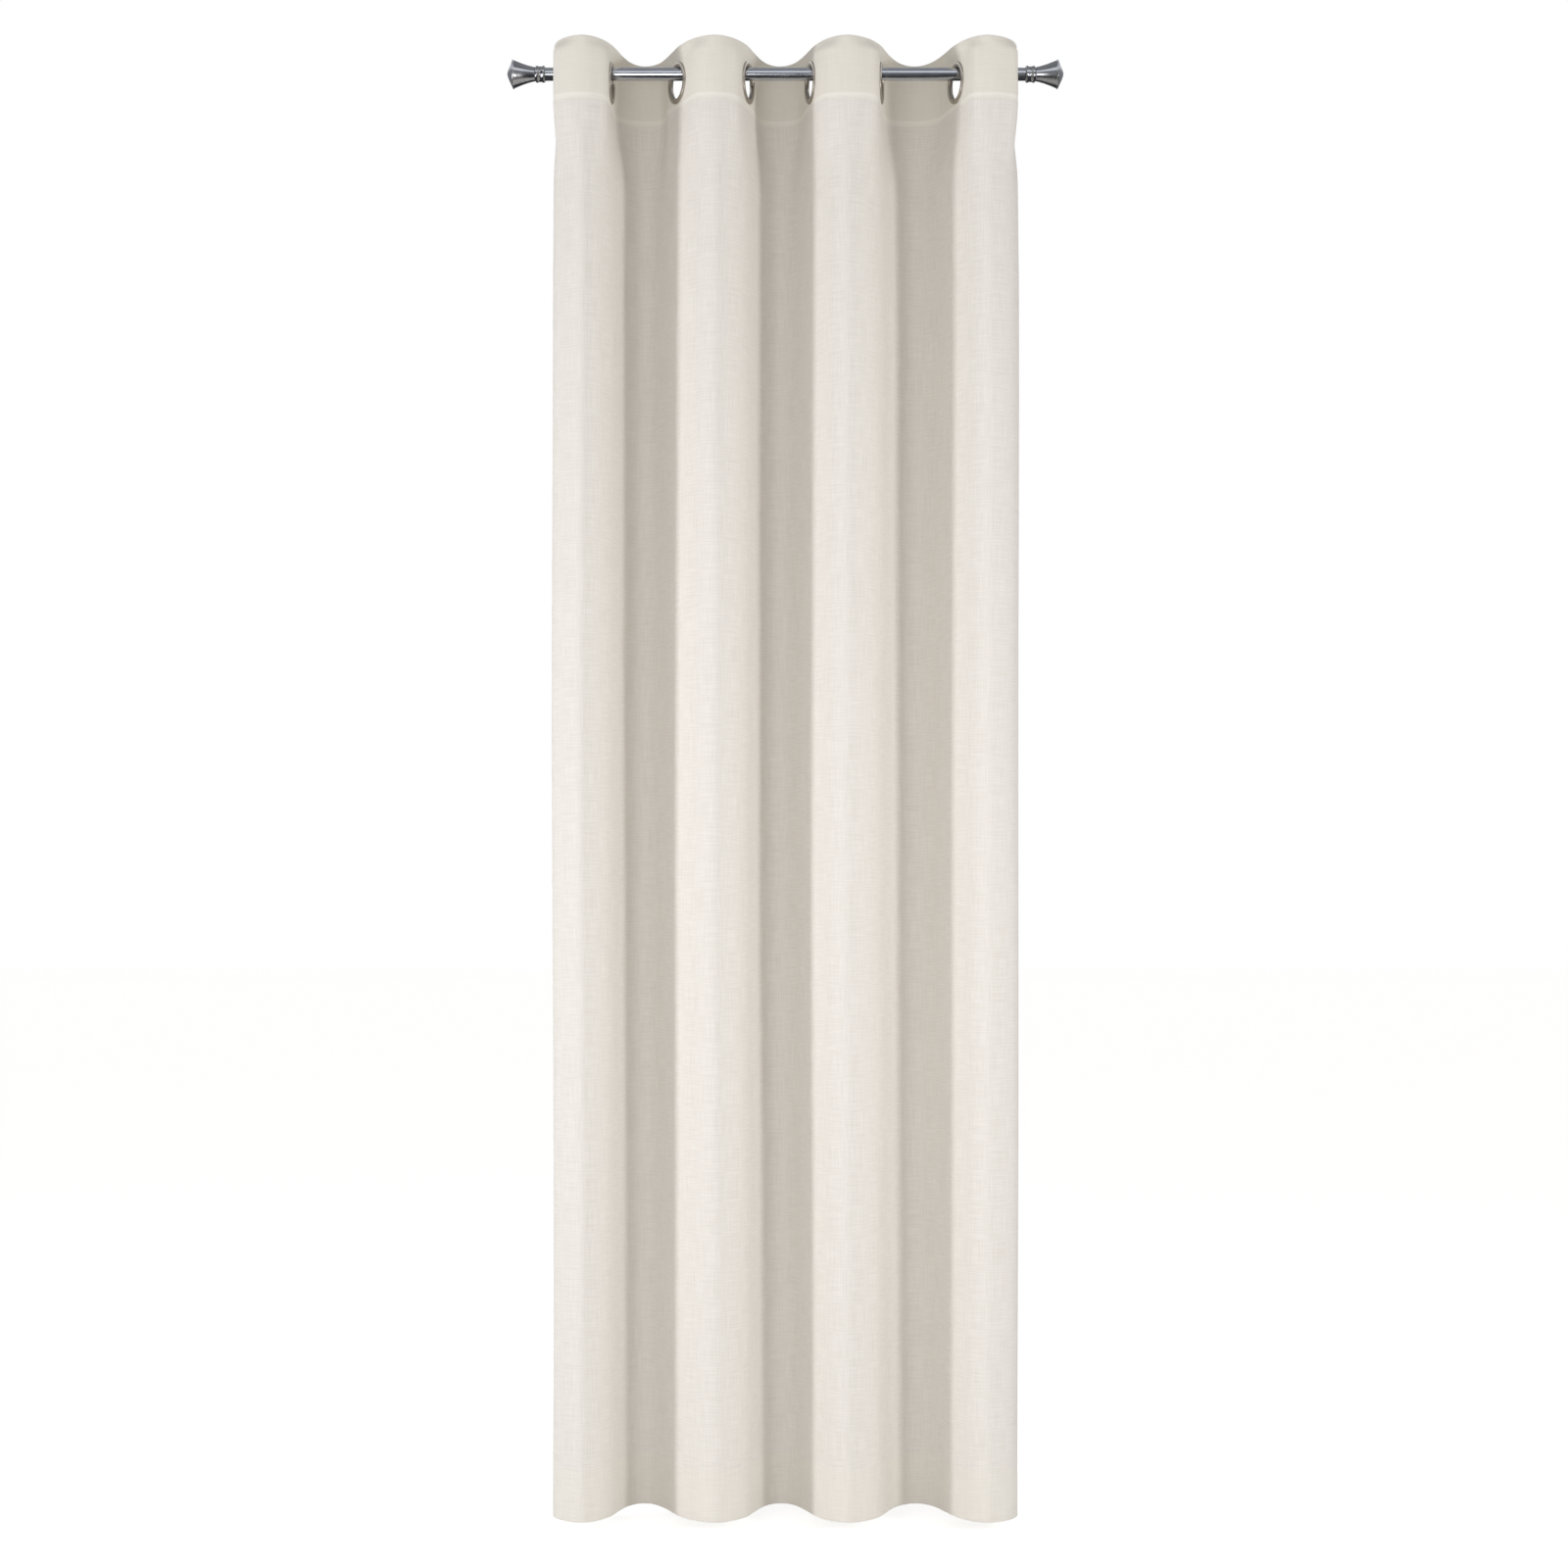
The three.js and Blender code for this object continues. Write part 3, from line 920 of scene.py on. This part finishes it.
def buildStitches(number):
    isFirst, isLast = number == 1, number == eyeletCount - 1
    fromRun = stitch["stopShort"] if isFirst else columns[seams[number - 1]]["run"]
    toRun = clothWidth - stitch["stopShort"] if isLast else columns[seams[number]]["run"]
    shape = bmesh.new()
    heading = {"z": seamZ, "share": 0.0, "turn": 1, "behind": 0}
    seamAcross(shape, fromRun, toRun, heading, stitch["pitch"], stitch["length"], -1)
    facing = {"z": seamZ, "share": 1.0, "turn": -1, "behind": curtain["behind"]}
    seamAcross(shape, fromRun, toRun, facing, stitch["pitch"], stitch["length"], 1)
    hem = {"z": hemTop - stitch["catchBelow"], "share": 1.0, "turn": -1, "behind": curtain["hemBehind"]}
    seamAcross(shape, fromRun, toRun, hem, stitch["catchPitch"], stitch["catchLength"], 1)
    inFromEdge = curtain["sideHem"] - stitch["inset"]
    for face in (-1, 1):
        if isFirst:
            seamDown(shape, inFromEdge, face)
        if isLast:
            seamDown(shape, clothWidth - inFromEdge, face)
    return finishPiece(f"curtain_fold_{number}_stitches", shape, threadFinish)


def sewCurtain():
    for number in range(1, eyeletCount):
        piece, strip = buildFold(number)
        sewing = buildStitches(number)
        nodes = [f"panel_fold_{number}", f"heading_fold_{number}",
                 f"panel_eyelet_{number}", f"heading_eyelet_{number}"]
        if number == 1:
            nodes += ["panel_side_left", "heading_side_left"]
        if number == eyeletCount - 1:
            nodes += [f"panel_eyelet_{eyeletCount}", f"heading_eyelet_{eyeletCount}",
                      "panel_side_right", "heading_side_right"]
        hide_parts(*nodes)
        for moving in (piece, sewing):
            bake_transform(moving)


# the eyelets

ring = {
    "inner": 0.0230,
    "outer": 0.0305,
    "wall": 0.0010,
    "flange": 0.0027,
    "lip": 0.0003,
    "innerPull": (0.0002, -0.0001),  # handles of the pressed face's curves, out and along
    "crownPull": (0.0010, 0.0015),
    "washer": 0.0019,
    "washerGap": 0.0002,
    "washerIn": (0.0006, 0.0009),  # its outer edge lies inside the cap's, at the face and at the cloth
    "washerPull": 0.0020,
    "washerEdge": (0.0008, 0.0003),
    "steps": 96,
}


def buildCap(number, cloth, barrelEnd):  # the room side, with its barrel
    inner, outer, wall, lip = ring["inner"], ring["outer"], ring["wall"], ring["lip"]
    crown = cloth - ring["flange"]
    half = (inner + outer) / 2
    innerPull, (crownIn, crownOut) = ring["innerPull"], ring["crownPull"]
    face = interpolate_bezier(Vector((inner, cloth - 0.2 * ring["flange"])),
                              Vector((inner + innerPull[0], crown + innerPull[1])),
                              Vector((half - crownIn, crown)), Vector((half, crown)), 8)
    rolled = interpolate_bezier(Vector((half, crown)), Vector((outer - crownOut, crown)),
                                Vector((outer, cloth - 0.7 * ring["flange"])),
                                Vector((outer, cloth - lip)), 9)
    face += rolled[1:]
    outline = [(inner, barrelEnd)] + [tuple(p) for p in face]
    outline += [(outer - lip, cloth), (inner + wall, cloth), (inner + wall, barrelEnd)]
    return finishPiece(f"ring_{number}", turned(outline, ring["steps"], True), ringFinish)


def buildWasher(number, cloth):  # the window side, pressed over the barrel
    gap = ring["washerGap"]
    gripped = ring["inner"] + ring["wall"] + gap
    half = (ring["inner"] + ring["outer"]) / 2
    edge, foot = (ring["outer"] - inside for inside in ring["washerIn"])
    top = cloth + ring["washer"]
    across, down = ring["washerEdge"]
    face = interpolate_bezier(Vector((edge, cloth + gap)), Vector((edge, top - gap)),
                              Vector((half + ring["washerPull"], top)), Vector((half, top)), 8)
    outline = [(gripped, cloth), (foot, cloth)] + [tuple(p) for p in face]
    outline += [(gripped + across, top - down), (gripped, top - across)]
    return finishPiece(f"ring_{number}_washer", turned(outline, ring["steps"], True), ringFinish)


def buildEyelet(number):
    middle, way = eyeletPlace(number)
    clothFront = -curtain["thickness"] / 2
    clothBack = curtain["behind"] + curtain["thickness"] / 2
    cap = buildCap(number, clothFront, clothBack + ring["washer"] * 0.8)
    washer = buildWasher(number, clothBack)
    square = Vector((-way.y, way.x, 0))  # towards the window
    place = Matrix((square, Vector((0, 0, 1)).cross(square), Vector((0, 0, 1)))).transposed().to_4x4()
    place.translation = middle
    for piece, node in ((cap, "front"), (washer, "back")):
        piece.data.transform(place)
        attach(piece, f"eyelet_{number}")
        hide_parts(f"eyelet_{number}_{node}")


for number in range(1, eyeletCount + 1):
    buildEyelet(number)
print("eyelets set")
sewCurtain()
print("curtain sewn")
